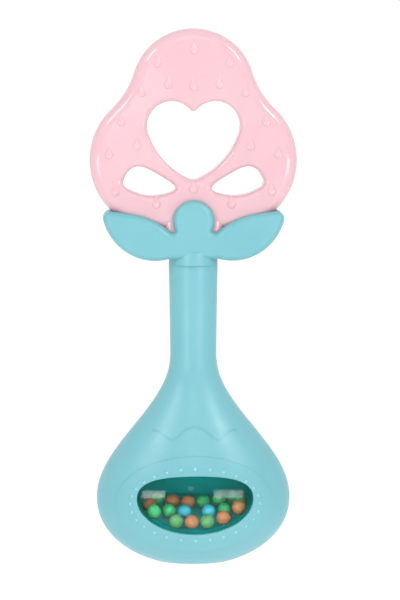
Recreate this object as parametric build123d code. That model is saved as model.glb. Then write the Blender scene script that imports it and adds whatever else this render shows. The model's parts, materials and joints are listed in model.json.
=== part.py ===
from build123d import *
import math
import os

# Baby rattle with a teething head. Units are millimetres.
# +Z runs up the handle, +X is to the right seen from the front, the front faces -Y.
# The origin is under the middle of the bulb's foot.

# ---- handle: an oval section whose half-width follows the height ----
BULB_WIDTH = 60.0
STEM_WIDTH = 14.3
NECK_WIDTH = 15.1
STEM_DEPTH = 13.2
BULB_DEPTH = 35.6
BELLY_Z = 19.8          # height of the widest section
SHOULDER_LENGTH = 44.3  # from the widest section to the waist
STEM_LENGTH = 28.2      # from the waist to the seam under the collar
FOOT_CUT = 1.5          # how much of the round bottom the flat foot takes off
BELLY_POWER = 2.1       # squareness of the bulb's lower outline
NECK_POWER = 1.5        # how the stem widens towards the collar
HANDLE_WALL = 1.8
PLUG_LENGTH = 4.0       # solid top of the stem
BULB_RINGS = 7          # sections that shape the outline, from the foot up
SHOULDER_RINGS = 10
STEM_RINGS = 7

# ---- joint between the two handle shells ----
LIP_DEPTH = 1.2
LIP_CLEARANCE = 0.1
LIP_SHARE = 0.5         # share of the wall that the lip takes
BOSS_R = 2.3
BOSS_PIN_R = 1.2
BOSS_PIN_REACH = 3.0
LOWER_BOSS_DROP = 16.0  # below the waist
UPPER_BOSS_DROP = 12.3  # below the seam
FUSE = 0.5              # how far a joined peg or lip runs into its own half

# ---- spigot that the collar clamps ----
SPIGOT_R = 4.2
SPIGOT_NECK = 1.9
FLANGE_R = 5.4
FLANGE_HEIGHT = 2.0
COLLAR_CLEARANCE = 0.15

# ---- window, its heights measured from the widest section ----
WINDOW_WIDTH = 35.8
WINDOW_LIFT = 1.3       # height of its widest line
WINDOW_RISE = 7.5
WINDOW_DROP = 10.7
WINDOW_FULLNESS = 0.69  # squareness of the window's upper outline, where 0.55 is an ellipse
LENS_THICKNESS = 1.4
LENS_STEP = 0.3         # how far the lens's plate runs into its flange
LENS_CLEARANCE = 0.12
FLANGE_OVERLAP = 1.6    # how far the lens flange reaches behind the shell
LENS_FLANGE = 1.0
FRONT_REACH = 3.0       # front openings are cut from outside to this far from the middle
BEZEL_WIDTH = 48.2
BEZEL_HEIGHT = 29.6
BEZEL_PROUD = 0.25
BEZEL_LIFT = -0.2
DOT_COUNT = 28
DOT_R = 0.55            # radius of the ball that each dot is the top of
DOT_RING_WIDTH = 40.0
DOT_RING_HEIGHT = 22.2
DOT_PROUD = 0.28

# ---- scalloped step across the upper bulb, its heights measured from the widest section ----
SCALLOP_PEAK = 23.2
SCALLOP_TROUGH = 19.4
SCALLOP_SIDE = 21.9
SCALLOP_BOW = 0.9       # how far each arc bows up between its ends
SCALLOP_HALF_PITCH = 7.2
SCALLOP_SIDE_X = 12.6
SCALLOP_WIDTH = 0.6
SCALLOP_DEPTH = 0.15

# ---- bead cup and beads ----
CUP_WALL = 1.1
CUP_INSET = 0.45        # the cup's inside is this much smaller than the window all round
CUP_SLOPE = 27.0        # degrees, rising to the rear
CUP_LEDGE = 2.2         # flat floor in front of the slope, from the lens backwards
BEAD_D = 4.3
BEAD_GAP = 0.15         # between a bead and the cup
BEAD_SPACE = 0.3        # between beads
BEAD_LENS_GAP = 1.1     # between the front row and the lens
BEAD_END_GAP = 0.5      # between a row's last bead and the cup's side

# a row's spare width is shared out in front of each of its beads, from left to right
BEAD_ROWS = (
    (0.37, 0.32, 0.03, 0.03, 0.05, 0.03),
    (0.14, 0.22, 0.03, 0.46, 0.06, 0.02),
    (0.55, 0.02, 0.02, 0.02, 0.04, 0.02),
)

# ---- teething plate, its heights measured from the seam ----
HEAD_TOP = 72.5
HEAD_TOP_R = 19.0
LOBE_X = 10.3
LOBE_RISE = 32.2
LOBE_R = 21.6
SIDE_FILLET = 25.5      # the hollow between the top and each lobe
PLATE_DEPTH = 9.5
PLATE_EDGE_R = 3.4
HOLE_EDGE_R = 1.6
HEART_LOBE_X = 6.7
HEART_LOBE_RISE = 42.7
HEART_LOBE_R = 7.6
HEART_SIDE_TURN = 12.0  # degrees below level at which each lobe ends
HEART_SIDE_X = 8.5      # middle of each lower side
HEART_SIDE_RISE = 31.5
HEART_TIP_RISE = 25.9
HEART_TIP_R = 4.0
HEART_CLEFT_R = 1.2
LEAF_HOLE = ((21.5, 26.2), (17.3, 30.3), (10.6, 27.7), (5.6, 23.5), (12.5, 21.3), (19.2, 22.9))
TONGUE_WIDTH = 20.0     # wide enough to close the clefts between the bud and the leaves
TONGUE_GAP = 0.8        # between the tongue and the spigot's flange
TONGUE_ROOT = 15.1      # how far below the lobes' centres the tongue begins
DROP_R = 1.25
DROP_HEIGHT = 4.0
DROP_PROUD = 0.4
DROPS = (
    (0.0, 66.0), (11.0, 61.9), (7.9, 55.4), (0.0, 54.7), (15.9, 52.9), (22.3, 43.9),
    (17.4, 36.6), (26.0, 33.9), (24.0, 22.6), (11.5, 18.7), (0.0, 23.4),
)

# ---- collar, its heights measured from the seam ----
BUD_RISE = 13.6
BUD_R = 6.4
LEAF_TIP_X = 28.4
LEAF_BROW = (13.4, 14.2)    # points on the leaf's outline, in order from the cleft to the root
LEAF_CREST = (19.8, 15.95)
LEAF_BELLY = (25.7, 9.1)
LEAF_KEEL = (20.0, 3.6)
LEAF_TIP_R = 2.4
CLEFT_R = 0.6
CLEFT_X = 7.0
CLEFT_RISE = 10.1
LEAF_BASE = 2.0
NECK_OVERLAP = 2.0      # how far the round neck runs up into the leaves
COLLAR_DEPTH = 14.8
COLLAR_EDGE_R = 2.2
PLATE_CLEARANCE = 0.25
PEG_R = 1.5
PEG_CLEARANCE = 0.1
PEG_REACH = 5.2
TONGUE_PEGS = ((0.0, 13.3), (0.0, 7.9))
LEAF_PEGS = ((13.4, 5.9), (-13.4, 5.9))

# ---- heights that follow ----
WAIST_Z = BELLY_Z + SHOULDER_LENGTH
COLLAR_Z = WAIST_Z + STEM_LENGTH
WINDOW_Z = BELLY_Z + WINDOW_LIFT
BEZEL_Z = BELLY_Z + BEZEL_LIFT
BOSS_HEIGHTS = (WAIST_Z - LOWER_BOSS_DROP, COLLAR_Z - UPPER_BOSS_DROP)
LENS_BACK = HANDLE_WALL + LENS_CLEARANCE + LENS_FLANGE  # from the outside to the back of the lens

FRONT = Plane((0, 0, 0), x_dir=(1, 0, 0), z_dir=(0, -1, 0))


def half_width(z, inset=0.0):
    """Half the handle's width at a height, for the outside or for a surface inset from it."""
    bulb = BULB_WIDTH / 2 - inset
    stem = STEM_WIDTH / 2 - inset
    neck = NECK_WIDTH / 2 - inset
    if z <= BELLY_Z:
        drop = (BELLY_Z - z) / (BELLY_Z + FOOT_CUT - inset)
        return bulb * (1 - drop ** BELLY_POWER) ** (1 / BELLY_POWER)
    if z <= WAIST_Z:
        turn = math.pi * (z - BELLY_Z) / (WAIST_Z - BELLY_Z)
        return stem + (bulb - stem) * (1 + math.cos(turn)) / 2
    return stem + (neck - stem) * ((z - WAIST_Z) / (COLLAR_Z - WAIST_Z)) ** NECK_POWER


def half_depth(z, inset=0.0):
    """Half the handle's depth at a height: round at the stem and flattened at the bulb."""
    flattening = (BULB_DEPTH - STEM_DEPTH) / (BULB_WIDTH - STEM_WIDTH)
    outside = half_width(z, inset) + inset
    return STEM_DEPTH / 2 + (outside - STEM_WIDTH / 2) * flattening - inset


def pear(inset=0.0, top=COLLAR_Z):
    """The handle's outside, or the same form inset from it, up to a height."""
    reach = BELLY_Z - inset
    heights = [BELLY_Z - reach * math.cos(math.pi / 2 * i / BULB_RINGS) for i in range(BULB_RINGS + 1)]
    heights += [BELLY_Z + SHOULDER_LENGTH * i / SHOULDER_RINGS for i in range(1, SHOULDER_RINGS + 1)]
    heights += [WAIST_Z + (top - WAIST_Z) * i / STEM_RINGS for i in range(1, STEM_RINGS + 1)]
    rings = [
        Plane.XY.offset(z) * Ellipse(half_width(z, inset), half_depth(z, inset))
        for z in heights
    ]
    return loft(rings)


def slab(y_low, y_high):
    """A box wider and taller than the rattle between two depths."""
    box = Box(2 * BULB_WIDTH, y_high - y_low, 3 * (COLLAR_Z + HEAD_TOP))
    return Pos(0, (y_low + y_high) / 2, 0) * box


def from_front(face, y_near, y_far):
    """Extrude a face drawn in the front view (x, z) between two depths."""
    return extrude(FRONT.offset(-y_far) * face, amount=y_far - y_near)


def window_face(inset=0.0):
    """The window's outline in the front view: a squarish upper and a half-oval lower part."""
    half = WINDOW_WIDTH / 2 - inset
    top = WINDOW_RISE - inset
    reach = WINDOW_FULLNESS * half
    lift = WINDOW_Z + WINDOW_FULLNESS * top
    crown = (0, WINDOW_Z + top)
    right = Bezier((half, WINDOW_Z), (half, lift), (reach, WINDOW_Z + top), crown)
    left = Bezier(crown, (-reach, WINDOW_Z + top), (-half, lift), (-half, WINDOW_Z))
    lower = EllipticalCenterArc((0, WINDOW_Z), half, WINDOW_DROP - inset, 180, arc_size=180)
    return make_face([right, left, lower])


def peg(x, z, radius, y_near, y_far):
    """A round peg or hole along Y."""
    return from_front(Pos(x, z) * Circle(radius), y_near, y_far)


# ------------------------------------------------------------------ handle

def handle_shells():
    """The two halves of the handle, split front to rear, with a lip, pins and a spigot."""
    outer = pear()
    inner = pear(HANDLE_WALL, COLLAR_Z - PLUG_LENGTH)
    hollow = outer - inner
    spigot = Pos(0, 0, COLLAR_Z + SPIGOT_NECK / 2) * Cylinder(SPIGOT_R, SPIGOT_NECK)
    flange_z = COLLAR_Z + SPIGOT_NECK + FLANGE_HEIGHT / 2
    flange = Pos(0, 0, flange_z) * Cylinder(FLANGE_R, FLANGE_HEIGHT)
    hollow = hollow + spigot + flange

    # the bosses cross the hollow stem, front to rear
    for z in BOSS_HEIGHTS:
        boss = peg(0, z, BOSS_R, -BULB_DEPTH / 2, BULB_DEPTH / 2)
        hollow = hollow + (boss & pear(HANDLE_WALL / 2))

    front = hollow & slab(-BULB_DEPTH, 0)
    rear = hollow & slab(0, BULB_DEPTH)

    # a lip on the rear shell sits in a rebate inside the front shell
    lip_outer = HANDLE_WALL * (1 - LIP_SHARE)
    lip_top = COLLAR_Z - PLUG_LENGTH
    rebate = pear(lip_outer, lip_top) - inner
    lip = pear(lip_outer + LIP_CLEARANCE, lip_top) - inner
    front = front - (rebate & slab(-LIP_DEPTH - LIP_CLEARANCE, 0.0))
    rear = rear + (lip & slab(-LIP_DEPTH, FUSE))
    for z in BOSS_HEIGHTS:
        front = front - peg(0, z, BOSS_PIN_R + LIP_CLEARANCE, -BOSS_PIN_REACH - LIP_CLEARANCE, 0)
        rear = rear + peg(0, z, BOSS_PIN_R, -BOSS_PIN_REACH, FUSE)
    return front, rear


def front_details(front):
    """Window opening, bezel, dot ring and scalloped step on the front shell."""
    near = -BULB_DEPTH
    far = -FRONT_REACH
    bezel_face = Pos(0, BEZEL_Z) * Ellipse(BEZEL_WIDTH / 2, BEZEL_HEIGHT / 2)
    ring = pear(-BEZEL_PROUD) - pear(HANDLE_WALL / 2)
    front = front + (from_front(bezel_face, near, far) & ring)
    front = front - from_front(window_face(), near, far)
    skin = pear() - pear(SCALLOP_DEPTH)
    front = front - (from_front(scallop_face(), near, far) & skin)
    return front + dots()


def dots():
    """The ring of small domes round the window."""
    domes = []
    for i in range(DOT_COUNT):
        turn = 2 * math.pi * i / DOT_COUNT
        x = DOT_RING_WIDTH / 2 * math.cos(turn)
        z = BEZEL_Z + DOT_RING_HEIGHT / 2 * math.sin(turn)
        across = half_width(z, -BEZEL_PROUD)
        y = -half_depth(z, -BEZEL_PROUD) * math.sqrt(1 - (x / across) ** 2)
        domes.append(Pos(x, y + DOT_R - DOT_PROUD, z) * Sphere(DOT_R, rotation=(90, 0, 0)))
    return domes


def scallop_face():
    """A thin band with one peak, two troughs and two side arms."""
    half = SCALLOP_HALF_PITCH
    line = Spline(
        (-SCALLOP_SIDE_X, SCALLOP_SIDE),
        (-(half + SCALLOP_SIDE_X) / 2, (SCALLOP_SIDE + SCALLOP_TROUGH + SCALLOP_BOW) / 2),
        (-half, SCALLOP_TROUGH),
        (-half / 2, (SCALLOP_PEAK + SCALLOP_TROUGH + SCALLOP_BOW) / 2),
        (0, SCALLOP_PEAK),
        (half / 2, (SCALLOP_PEAK + SCALLOP_TROUGH + SCALLOP_BOW) / 2),
        (half, SCALLOP_TROUGH),
        ((half + SCALLOP_SIDE_X) / 2, (SCALLOP_SIDE + SCALLOP_TROUGH + SCALLOP_BOW) / 2),
        (SCALLOP_SIDE_X, SCALLOP_SIDE),
    )
    return Pos(0, BELLY_Z) * trace(line, SCALLOP_WIDTH)


# ------------------------------------------------------------------ window and bead cup

def lens():
    """The window: a plate that follows the bulb, with a flange behind the shell."""
    flange_front = HANDLE_WALL + LENS_CLEARANCE
    plate_back = flange_front + LENS_STEP
    plate_layer = pear(plate_back - LENS_THICKNESS) - pear(plate_back)
    plate = from_front(window_face(LENS_CLEARANCE), -BULB_DEPTH, -FRONT_REACH) & plate_layer
    flange_layer = pear(flange_front) - pear(LENS_BACK)
    flange = from_front(window_face(-FLANGE_OVERLAP), -BULB_DEPTH, -FRONT_REACH) & flange_layer
    return plate + flange


def floor_z():
    """Lowest height of the cup's inside."""
    return WINDOW_Z - WINDOW_DROP + CUP_INSET


def slope_z(y, offset=0.0):
    """Height of the cup's sloped rear floor at a depth, or of a plane offset above it."""
    rise = math.radians(CUP_SLOPE)
    start_y = -half_depth(floor_z(), LENS_BACK) + CUP_LEDGE
    return floor_z() + (y - start_y) * math.tan(rise) + offset / math.cos(rise)


def above_slope(offset, y_far):
    """The space above the sloped floor, from the bulb's front to a depth."""
    top = BELLY_Z * 2
    y_near = -BULB_DEPTH
    side = Polyline(
        (y_near, slope_z(y_near, offset)),
        (y_far, slope_z(y_far, offset)),
        (y_far, top),
        (y_near, top),
        close=True,
    )
    return extrude(Plane.YZ * make_face(side), amount=BULB_WIDTH / 2, both=True)


def bead_cup():
    """The cup that holds the beads against the lens."""
    back = row_y(row_end(), len(BEAD_ROWS) - 1) + BEAD_D / 2 + BEAD_GAP
    outline = from_front(window_face(CUP_INSET - CUP_WALL), -BULB_DEPTH, back + CUP_WALL)
    hollow = from_front(window_face(CUP_INSET), -BULB_DEPTH, back)
    body = outline & pear(LENS_BACK) & above_slope(-CUP_WALL, back + CUP_WALL)
    return body - (hollow & above_slope(0, back))


def row_end():
    """How far to the side a bead's centre may lie."""
    return WINDOW_WIDTH / 2 - CUP_INSET - BEAD_D / 2 - BEAD_GAP - BEAD_END_GAP


def row_y(x, row):
    """Depth of a bead's centre in one of the rows, which follow the lens's curve."""
    low = floor_z() + BEAD_D / 2 + BEAD_GAP
    across = x / half_width(low, LENS_BACK)
    lens_y = -half_depth(low, LENS_BACK) * math.sqrt(1 - across ** 2)
    return lens_y + BEAD_LENS_GAP + BEAD_D / 2 + row * (BEAD_D + BEAD_SPACE)


def touch_height(x, height, sign, reach):
    """Height at which a ball's centre stands when it touches the cup's floor or ceiling."""
    half = WINDOW_WIDTH / 2 - CUP_INSET
    low, high = 0.0, math.pi / 2
    for _ in range(50):
        turn = (low + high) / 2
        slant = math.hypot(height * math.cos(turn), half * math.sin(turn))
        across = half * math.cos(turn) - reach * height * math.cos(turn) / slant
        if across > abs(x):
            low = turn
        else:
            high = turn
    slant = math.hypot(height * math.cos(turn), half * math.sin(turn))
    rise = height * math.sin(turn) - reach * half * math.sin(turn) / slant
    return WINDOW_Z + sign * rise


def bead_rest(x, y):
    """Height of a resting bead's centre."""
    reach = BEAD_D / 2 + BEAD_GAP
    on_floor = touch_height(x, WINDOW_DROP - CUP_INSET, -1, reach)
    return max(on_floor, slope_z(y, reach))


def bead_travel(x, y):
    """How far a bead can rise before it meets the cup's ceiling."""
    reach = BEAD_D / 2 + BEAD_GAP
    return touch_height(x, WINDOW_RISE - CUP_INSET, 1, reach) - bead_rest(x, y)


def bead_places():
    """Each bead's name, place and travel, row by row from the front and from left to right."""
    places = []
    for row, shares in enumerate(BEAD_ROWS):
        step = BEAD_D + BEAD_SPACE
        spare = 2 * row_end() - step * (len(shares) - 1)
        x = -row_end() - step
        for share in shares:
            x += step + share * spare
            places.append((x, row_y(x, row)))
    return [
        (f"bead_{i:02d}", x, y, bead_rest(x, y), bead_travel(x, y))
        for i, (x, y) in enumerate(places, start=1)
    ]


# ------------------------------------------------------------------ teething plate

def heart_face():
    """A heart: two round lobes over a rounded point."""
    turn = math.radians(HEART_SIDE_TURN)
    side = (HEART_LOBE_X + HEART_LOBE_R * math.cos(turn), HEART_LOBE_RISE - HEART_LOBE_R * math.sin(turn))
    far_side = (-side[0], side[1])
    tip = (0, HEART_TIP_RISE)
    right = ThreePointArc(side, (HEART_SIDE_X, HEART_SIDE_RISE), tip)
    left = ThreePointArc(tip, (-HEART_SIDE_X, HEART_SIDE_RISE), far_side)
    point = make_face([right, left, Line(far_side, side)])
    lobe = Circle(HEART_LOBE_R)
    heart = point + [Pos(s * HEART_LOBE_X, HEART_LOBE_RISE) * lobe for s in (-1, 1)]
    heart = fillet(heart.vertices().sort_by(Axis.Y)[0], HEART_TIP_R)
    cleft = [v for v in heart.vertices() if abs(v.X) < 0.01 and v.Y > HEART_LOBE_RISE]
    return fillet(cleft, HEART_CLEFT_R)


def leaf_hole_face():
    """A leaf-shaped opening, blunt outside and pointed inside, on the right."""
    return make_face(Spline(*LEAF_HOLE, periodic=True))


def head_face():
    """The plate's outline without its openings."""
    top = Pos(0, HEAD_TOP - HEAD_TOP_R) * Circle(HEAD_TOP_R)
    head = top + [Pos(s * LOBE_X, LOBE_RISE) * Circle(LOBE_R) for s in (-1, 1)]
    shoulders = [v for v in head.vertices() if v.Y > LOBE_RISE and abs(v.X) > LOBE_X]
    head = fillet(shoulders, SIDE_FILLET)
    low = SPIGOT_NECK + FLANGE_HEIGHT + TONGUE_GAP
    high = LOBE_RISE - TONGUE_ROOT
    return head + Pos(0, (low + high) / 2) * Rectangle(TONGUE_WIDTH, high - low)


def teething_head():
    """The plate with its openings, raised drops and anchor holes, built up from the seam."""
    half = PLATE_DEPTH / 2
    plate = from_front(head_face(), -half, half)
    plate = fillet(rims(plate, half), PLATE_EDGE_R)
    leaf = leaf_hole_face()
    for hole in (heart_face(), leaf, mirror(leaf, Plane.YZ)):
        plate = plate - from_front(hole, -half, half)
        box = hole.bounding_box()
        edges = [
            e for e in rims(plate, half)
            if box.min.X < e.center().X < box.max.X
            and box.min.Y < e.center().Z < box.max.Y
        ]
        plate = fillet(edges, HOLE_EDGE_R)
    for x, z in TONGUE_PEGS:
        plate = plate - peg(x, z, PEG_R + PEG_CLEARANCE, -half, half)
    drop = water_drop()
    drops = []
    for x, z in DROPS:
        for side in ((x, -x) if x else (x,)):
            drops += [Pos(side, face * half, z) * drop for face in (-1, 1)]
    return Pos(0, 0, COLLAR_Z) * (plate + drops)


def rims(shape, half):
    """The edges that lie in a plate's front and rear faces."""
    return [e for e in shape.edges() if abs(e.center().Y) > half - 0.01]


def water_drop():
    """A raised drop, round below and pointed above, flattened along Y."""
    tip = DROP_HEIGHT - DROP_R
    lean = math.asin(DROP_R / tip)
    shoulder = (DROP_R * math.cos(lean), DROP_R * math.sin(lean))
    low = (DROP_R * math.cos(lean / 2), -DROP_R * math.sin(lean / 2))
    side = [
        ThreePointArc((0, -DROP_R), low, shoulder),
        Line(shoulder, (0, tip)),
        Line((0, tip), (0, -DROP_R)),
    ]
    full = revolve(Plane.XZ * make_face(side), Axis.Z)
    return scale(full, by=(1, DROP_PROUD / DROP_R, 1))


# ------------------------------------------------------------------ collar

def collar_face():
    """Bud, two leaves and neck in the front view, all of straight lines and tangent arcs."""
    bud = Pos(0, BUD_RISE) * Circle(BUD_R)
    root = (NECK_WIDTH / 2, LEAF_BASE)
    cleft = (CLEFT_X, CLEFT_RISE)
    brow = ThreePointArc(cleft, LEAF_BROW, LEAF_CREST)
    edge = PolarLine(brow @ 1, LEAF_TIP_X - LEAF_CREST[0], direction=brow % 1)
    belly = ThreePointArc(edge @ 1, LEAF_BELLY, LEAF_KEEL)
    keel = TangentArc(belly @ 1, root, tangent=belly % 1)
    inner = Polyline(root, (0, LEAF_BASE), (0, CLEFT_RISE), cleft)
    leaf = make_face([brow, edge, belly, keel, inner])
    leaf = fillet(leaf.vertices().sort_by(Axis.X)[-1], LEAF_TIP_R)
    face = bud + leaf + mirror(leaf, Plane.YZ)
    clefts = [v for v in face.vertices() if abs(v.Y - CLEFT_RISE) < 1.5 and abs(v.X) > BUD_R / 2]
    return fillet(clefts, CLEFT_R)


def collar_halves():
    """The collar's front and rear halves, hollowed for the plate and the spigot, from the seam up."""
    half = COLLAR_DEPTH / 2
    body = from_front(collar_face(), -half, half)
    body = fillet(rims(body, half), COLLAR_EDGE_R)
    neck_height = LEAF_BASE + NECK_OVERLAP
    body = body + Pos(0, 0, neck_height / 2) * Cylinder(NECK_WIDTH / 2, neck_height)

    pocket_half = PLATE_DEPTH / 2 + PLATE_CLEARANCE
    body = body - from_front(offset(head_face(), PLATE_CLEARANCE), -pocket_half, pocket_half)
    gap = COLLAR_CLEARANCE
    body = body - Pos(0, 0, SPIGOT_NECK / 2) * Cylinder(SPIGOT_R + gap, SPIGOT_NECK + 2 * gap)
    seat_z = SPIGOT_NECK + FLANGE_HEIGHT / 2
    body = body - Pos(0, 0, seat_z) * Cylinder(FLANGE_R + gap, FLANGE_HEIGHT + 2 * gap)

    front = body & slab(-COLLAR_DEPTH, 0)
    rear = body & slab(0, COLLAR_DEPTH)
    for x, z in TONGUE_PEGS:
        front = front + peg(x, z, PEG_R, -pocket_half - FUSE, PEG_REACH)
        rear = rear - peg(x, z, PEG_R + PEG_CLEARANCE, 0, PEG_REACH + PEG_CLEARANCE)
    for x, z in LEAF_PEGS:
        front = front + peg(x, z, PEG_R, -FUSE, PEG_REACH / 2)
        rear = rear - peg(x, z, PEG_R + PEG_CLEARANCE, 0, PEG_REACH / 2 + PEG_CLEARANCE)
    up = Pos(0, 0, COLLAR_Z)
    return up * front, up * rear


# ------------------------------------------------------------------ build and write

def save(shape, name):
    """Write one sub-part."""
    solids = shape.solids()
    whole = solids[0] if len(solids) == 1 else Compound(children=solids)
    export_step(whole, f"parts/{name}.step")


os.makedirs("parts", exist_ok=True)
handle_front, handle_rear = handle_shells()
save(front_details(handle_front), "handle_front_shell")
save(handle_rear, "handle_rear_shell")
save(lens(), "window_lens")
save(bead_cup(), "bead_cup")
save(teething_head(), "teether_head")
collar_front, collar_rear = collar_halves()
save(collar_front, "collar_front")
save(collar_rear, "collar_rear")
for name, x, y, z, travel in bead_places():
    save(Pos(x, y, z) * Sphere(BEAD_D / 2), name)
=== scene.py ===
import json
import math

import bmesh
import bpy
from mathutils import Matrix, Vector
from mathutils.bvhtree import BVHTree


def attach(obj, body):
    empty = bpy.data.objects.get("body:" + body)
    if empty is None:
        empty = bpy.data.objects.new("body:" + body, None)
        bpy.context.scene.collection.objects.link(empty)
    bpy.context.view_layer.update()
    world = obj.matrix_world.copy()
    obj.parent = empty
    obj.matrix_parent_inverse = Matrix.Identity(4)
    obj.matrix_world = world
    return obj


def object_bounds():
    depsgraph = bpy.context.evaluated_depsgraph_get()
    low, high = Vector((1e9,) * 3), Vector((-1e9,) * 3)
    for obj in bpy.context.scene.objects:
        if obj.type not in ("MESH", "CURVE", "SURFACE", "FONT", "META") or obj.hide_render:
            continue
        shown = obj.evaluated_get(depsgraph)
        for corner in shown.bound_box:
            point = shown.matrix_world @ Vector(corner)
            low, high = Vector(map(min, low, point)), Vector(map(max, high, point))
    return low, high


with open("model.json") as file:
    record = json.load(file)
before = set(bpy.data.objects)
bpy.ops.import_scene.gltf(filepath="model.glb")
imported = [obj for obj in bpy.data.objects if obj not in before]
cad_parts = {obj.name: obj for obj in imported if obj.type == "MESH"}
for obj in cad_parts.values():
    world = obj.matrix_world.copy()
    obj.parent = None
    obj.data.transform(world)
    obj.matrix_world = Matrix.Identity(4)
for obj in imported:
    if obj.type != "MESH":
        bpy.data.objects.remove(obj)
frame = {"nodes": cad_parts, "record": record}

# Every length is in metres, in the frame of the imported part: +Z up the handle, -Y towards the viewer.
cad_low, cad_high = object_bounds()
middle_z = (cad_low[2] + cad_high[2]) / 2


# ------------------------------------------------------------------ camera, floor and light

CAMERA_DISTANCE = 0.90
CAMERA_HEIGHT = 0.168
CAMERA_AZIMUTH = -2.3            # degrees; the camera stands a little to the left
FRAME_HEIGHT = 0.1848            # height of the view at the object's distance
AIM_X = 0.0021
AIM_Z = -0.0013
SENSOR = 36.0
CLIP_START = 0.01

FLOOR_SIZE = 40.0
FLOOR_DROP = 0.30                # how far the floor lies below the rattle's foot
FLOOR_WHITE = (0.98, 0.98, 0.98, 1.0)
FLOOR_ROUGHNESS = 0.9
FLOOR_GLOW = 0.12
WHITE = (1.0, 1.0, 1.0, 1.0)

FRONT_STRENGTH = 0.25            # the surround's light from the front
AROUND_STRENGTH = 1.05           # its light from the sides, the back and above
FRONT_EDGE = -0.85               # direction's Y where the front strength ends
AROUND_EDGE = -0.25              # direction's Y where the full strength starts

RATTLE_MIDDLE = (0.0, 0.0, 0.085)
WINDOW_MIDDLE = (0.0, 0.0, 0.022)
SHEEN_PLACE = (-0.0225, -1.00, 0.1270)   # square to the head's upper left
SHEEN_TARGET = (-0.0225, 0.0, 0.1270)
SHEEN_ROLL = 23.0                # degrees


def look_at(obj, target):
    """Turn a camera or lamp so that it faces a point."""
    obj.rotation_euler = (Vector(target) - obj.location).to_track_quat("-Z", "Y").to_euler()


def make_camera():
    """The camera at the photograph's viewing angle."""
    data = bpy.data.cameras.new("camera")
    data.sensor_fit = "VERTICAL"
    data.sensor_height = SENSOR
    data.lens = SENSOR * CAMERA_DISTANCE / FRAME_HEIGHT
    data.clip_start = CLIP_START
    camera = bpy.data.objects.new("camera", data)
    turn = math.radians(CAMERA_AZIMUTH)
    camera.location = (
        CAMERA_DISTANCE * math.sin(turn),
        -CAMERA_DISTANCE * math.cos(turn),
        CAMERA_HEIGHT,
    )
    bpy.context.scene.collection.objects.link(camera)
    look_at(camera, (AIM_X, 0.0, middle_z + AIM_Z))
    bpy.context.scene.camera = camera


def make_lamp(name, place, size, power, target=RATTLE_MIDDLE, roll=0.0):
    """A soft rectangular studio lamp, turned about its own axis by roll degrees."""
    data = bpy.data.lights.new(name, "AREA")
    data.shape = "RECTANGLE"
    data.size, data.size_y = size
    data.energy = power
    lamp = bpy.data.objects.new(name, data)
    lamp.location = place
    bpy.context.scene.collection.objects.link(lamp)
    look_at(lamp, target)
    lamp.rotation_euler.rotate_axis("Z", math.radians(roll))


def make_stage():
    """A plain pale floor below the object, and the surround."""
    bpy.ops.mesh.primitive_plane_add(size=FLOOR_SIZE, location=(0.0, 0.0, -FLOOR_DROP))
    floor = bpy.context.object
    floor.name = "floor"
    paint = bpy.data.materials.new("floor_white")
    paint.use_nodes = True
    shader = paint.node_tree.nodes["Principled BSDF"]
    shader.inputs["Base Color"].default_value = FLOOR_WHITE
    shader.inputs["Roughness"].default_value = FLOOR_ROUGHNESS
    shader.inputs["Emission Color"].default_value = WHITE
    shader.inputs["Emission Strength"].default_value = FLOOR_GLOW
    floor.data.materials.append(paint)
    make_surround()


def make_surround():
    """A white surround. Its light is weaker from the front, so that the window stays clear."""
    world = bpy.data.worlds.new("surround")
    world.use_nodes = True
    nodes = world.node_tree.nodes
    links = world.node_tree.links
    place = nodes.new("ShaderNodeTexCoord")
    split = nodes.new("ShaderNodeSeparateXYZ")
    links.new(place.outputs["Generated"], split.inputs["Vector"])
    span = nodes.new("ShaderNodeMapRange")
    span.inputs["From Min"].default_value = FRONT_EDGE
    span.inputs["From Max"].default_value = AROUND_EDGE
    span.inputs["To Min"].default_value = FRONT_STRENGTH
    span.inputs["To Max"].default_value = AROUND_STRENGTH
    links.new(split.outputs["Y"], span.inputs["Value"])
    light = nodes["Background"]
    links.new(span.outputs["Result"], light.inputs["Strength"])
    backdrop = nodes.new("ShaderNodeBackground")
    backdrop.inputs["Color"].default_value = WHITE
    light.inputs["Color"].default_value = WHITE
    rays = nodes.new("ShaderNodeLightPath")
    mix = nodes.new("ShaderNodeMixShader")
    links.new(rays.outputs["Is Camera Ray"], mix.inputs["Fac"])
    links.new(light.outputs["Background"], mix.inputs[1])
    links.new(backdrop.outputs["Background"], mix.inputs[2])
    links.new(mix.outputs["Shader"], nodes["World Output"].inputs["Surface"])
    bpy.context.scene.world = world


bpy.context.scene.view_settings.view_transform = "Standard"
make_camera()
make_stage()
make_lamp("high_left", (-0.58, -0.58, 0.63), (0.20, 0.26), 2.7)
make_lamp("high_right", (0.58, -0.58, 0.63), (0.20, 0.26), 2.9)
make_lamp("side_left", (-0.55, -0.90, 0.03), (0.40, 0.14), 1.9, WINDOW_MIDDLE)
make_lamp("side_right", (0.50, -0.92, 0.03), (0.48, 0.14), 1.9, WINDOW_MIDDLE)
make_lamp("front", (0.02, -0.95, 0.60), (0.40, 0.30), 1.7)
make_lamp("plate_sheen", SHEEN_PLACE, (0.075, 0.065), 0.05, SHEEN_TARGET, SHEEN_ROLL)


# ------------------------------------------------------------------ materials

NOISE_LOW = 0.3                  # the middle range of a noise, which the ramps stretch
NOISE_HIGH = 0.7
GRAIN_DETAIL = 3.0
BEAD_DEEP_TONE = 0.85            # a bead's darker tone, as a share of its colour


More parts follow.
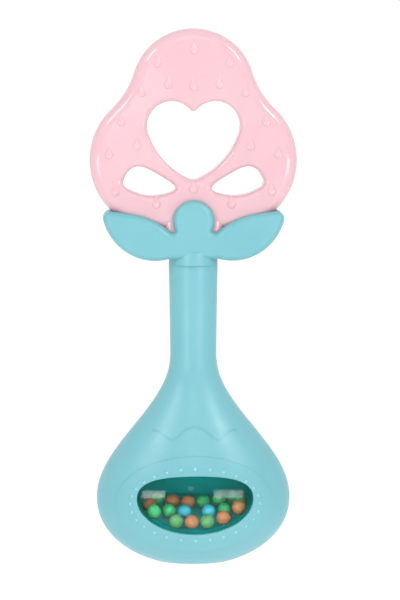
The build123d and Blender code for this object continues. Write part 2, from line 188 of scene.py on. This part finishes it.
class Paint:
    """A Principled material with a few procedural touches."""

    def __init__(self, name, colour, roughness):
        self.material = bpy.data.materials.new(name)
        self.material.use_nodes = True
        self.nodes = self.material.node_tree.nodes
        self.links = self.material.node_tree.links
        self.shader = self.nodes["Principled BSDF"]
        self.set("Base Color", (*colour, 1.0))
        self.set("Roughness", roughness)

    def set(self, socket, value):
        self.shader.inputs[socket].default_value = value

    def noise(self, scale, detail=2.0):
        """Object-space noise, so that it stays with the piece."""
        place = self.nodes.new("ShaderNodeTexCoord")
        noise = self.nodes.new("ShaderNodeTexNoise")
        noise.inputs["Scale"].default_value = scale
        noise.inputs["Detail"].default_value = detail
        self.links.new(place.outputs["Object"], noise.inputs["Vector"])
        return noise.outputs["Fac"]

    def ramp(self, source, low, high):
        """Map a noise's middle range to two grey levels."""
        span = self.nodes.new("ShaderNodeMapRange")
        span.inputs["From Min"].default_value = NOISE_LOW
        span.inputs["From Max"].default_value = NOISE_HIGH
        span.inputs["To Min"].default_value = low
        span.inputs["To Max"].default_value = high
        self.links.new(source, span.inputs["Value"])
        return span.outputs["Result"]

    def vary_colour(self, scale, pale, deep):
        """Let the base colour drift between two close tones."""
        mix = self.nodes.new("ShaderNodeMix")
        mix.data_type = "RGBA"
        mix.inputs["A"].default_value = (*deep, 1.0)
        mix.inputs["B"].default_value = (*pale, 1.0)
        self.links.new(self.ramp(self.noise(scale), 0.0, 1.0), mix.inputs["Factor"])
        self.links.new(mix.outputs["Result"], self.shader.inputs["Base Color"])

    def vary_roughness(self, scale, low, high):
        self.links.new(self.ramp(self.noise(scale), low, high), self.shader.inputs["Roughness"])

    def grain(self, scale, depth, strength):
        """A fine moulded surface."""
        bump = self.nodes.new("ShaderNodeBump")
        bump.inputs["Distance"].default_value = depth
        bump.inputs["Strength"].default_value = strength
        self.links.new(self.noise(scale, GRAIN_DETAIL), bump.inputs["Height"])
        self.links.new(bump.outputs["Normal"], self.shader.inputs["Normal"])


def pink_plastic():
    paint = Paint("pink_soft_plastic", (0.600, 0.385, 0.425), 0.08)
    paint.vary_colour(60.0, (0.610, 0.396, 0.436), (0.590, 0.374, 0.414))
    paint.vary_roughness(180.0, 0.05, 0.09)
    paint.grain(900.0, 0.00001, 0.06)
    paint.set("Specular IOR Level", 0.3)
    paint.set("Subsurface Weight", 0.25)
    paint.set("Subsurface Radius", (0.003, 0.0015, 0.0015))
    paint.set("Subsurface Scale", 1.0)
    return paint.material


def turquoise_plastic():
    paint = Paint("turquoise_satin_plastic", (0.132, 0.365, 0.410), 0.38)
    paint.vary_colour(45.0, (0.138, 0.374, 0.419), (0.126, 0.356, 0.401))
    paint.vary_roughness(220.0, 0.34, 0.42)
    paint.grain(1400.0, 0.00003, 0.2)
    return paint.material


def teal_lens():
    """Clear tinted plastic that lets the lamps' light through to the beads."""
    paint = Paint("teal_clear_plastic", (0.68, 0.96, 0.93), 0.06)
    paint.set("Transmission Weight", 1.0)
    paint.set("IOR", 1.25)
    paint.grain(120.0, 0.00003, 0.1)
    rays = paint.nodes.new("ShaderNodeLightPath")
    clear = paint.nodes.new("ShaderNodeBsdfTransparent")
    clear.inputs["Color"].default_value = (0.90, 1.0, 0.98, 1.0)
    mix = paint.nodes.new("ShaderNodeMixShader")
    paint.links.new(rays.outputs["Is Shadow Ray"], mix.inputs["Fac"])
    paint.links.new(paint.shader.outputs["BSDF"], mix.inputs[1])
    paint.links.new(clear.outputs["BSDF"], mix.inputs[2])
    paint.links.new(mix.outputs["Shader"], paint.nodes["Material Output"].inputs["Surface"])
    return paint.material


def teal_cup():
    paint = Paint("teal_cup_plastic_painted_glow", (0.0, 0.18, 0.19), 0.35)
    paint.set("Specular IOR Level", 0.1)
    # The teal emission is a painted glow: it stands in for light passing through the tinted plastic,
    # and the cup is no lamp.
    paint.set("Emission Color", (0.0, 0.16, 0.12, 1.0))
    paint.set("Emission Strength", 0.25)
    paint.vary_roughness(150.0, 0.28, 0.42)
    paint.vary_colour(80.0, (0.0, 0.20, 0.21), (0.0, 0.17, 0.18))
    paint.grain(900.0, 0.00003, 0.15)
    return paint.material


def bead_plastic(name, colour):
    paint = Paint(name, colour, 0.22)
    deep = tuple(BEAD_DEEP_TONE * c for c in colour)
    paint.vary_colour(350.0, colour, deep)
    paint.vary_roughness(500.0, 0.16, 0.30)
    paint.grain(1500.0, 0.00003, 0.15)
    return paint.material


BEAD_COLOURS = {
    "bead_green": (0.05, 0.36, 0.12),
    "bead_light_green": (0.14, 0.27, 0.09),
    "bead_orange": (0.68, 0.14, 0.045),
    "bead_blue": (0.05, 0.34, 0.48),
}
paints = {
    "pink_teether": pink_plastic(),
    "turquoise_body": turquoise_plastic(),
    "teal_window": teal_lens(),
    "teal_cup": teal_cup(),
}
for slot, colour in BEAD_COLOURS.items():
    paints[slot] = bead_plastic(slot, colour)

slots = {part["node"]: part["material_slot"] for part in frame["record"]["subparts"]}
for node, piece in frame["nodes"].items():
    piece.data.materials.clear()
    piece.data.materials.append(paints[slots[node]])


# ------------------------------------------------------------------ dots round the window

DOT_COUNT = 28
DOT_RING = (0.0200, 0.0111)      # half its width and half its height
DOT_RING_Z = 0.0196
DOT_RADIUS = 0.00055
DOT_PROUD = 0.00034
RAY_START_Y = -0.1               # in front of the rattle
BACKWARDS = Vector((0.0, 1.0, 0.0))


def dot_ring():
    """Small domes that cap the shell's own dots. They are paler than the shell, which paints a
    highlight on each raised dot.
    """
    shell = frame["nodes"]["handle_front_shell"]
    tree = BVHTree.FromObject(shell, bpy.context.evaluated_depsgraph_get())
    mesh = bmesh.new()
    for i in range(DOT_COUNT):
        turn = 2 * math.pi * i / DOT_COUNT
        x = DOT_RING[0] * math.cos(turn)
        z = DOT_RING_Z + DOT_RING[1] * math.sin(turn)
        left = Vector((x - 2 * DOT_RADIUS, RAY_START_Y, z))
        right = left + Vector((4 * DOT_RADIUS, 0.0, 0.0))
        left_hit, left_normal, _, _ = tree.ray_cast(left, BACKWARDS)
        right_hit, right_normal, _, _ = tree.ray_cast(right, BACKWARDS)
        middle = (left_hit + right_hit) / 2
        out = (left_normal + right_normal).normalized()
        turned = out.to_track_quat("Z", "Y").to_matrix().to_4x4()
        flat = Matrix.Diagonal((DOT_RADIUS, DOT_RADIUS, DOT_PROUD, 1.0))
        dome = Matrix.Translation(middle) @ turned @ flat
        bmesh.ops.create_uvsphere(mesh, u_segments=20, v_segments=12, radius=1.0, matrix=dome)
    data = bpy.data.meshes.new("window_dots")
    mesh.to_mesh(data)
    mesh.free()
    data.shade_smooth()
    ring = bpy.data.objects.new("window_dots", data)
    bpy.context.scene.collection.objects.link(ring)
    # The dots' paler colour is a painted highlight; the real dots are the shell's own turquoise
    # plastic.
    pale = Paint("turquoise_dot_painted_highlight", (0.20, 0.47, 0.51), 0.35)
    pale.vary_roughness(400.0, 0.30, 0.42)
    data.materials.append(pale.material)
    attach(ring, "body")


dot_ring()
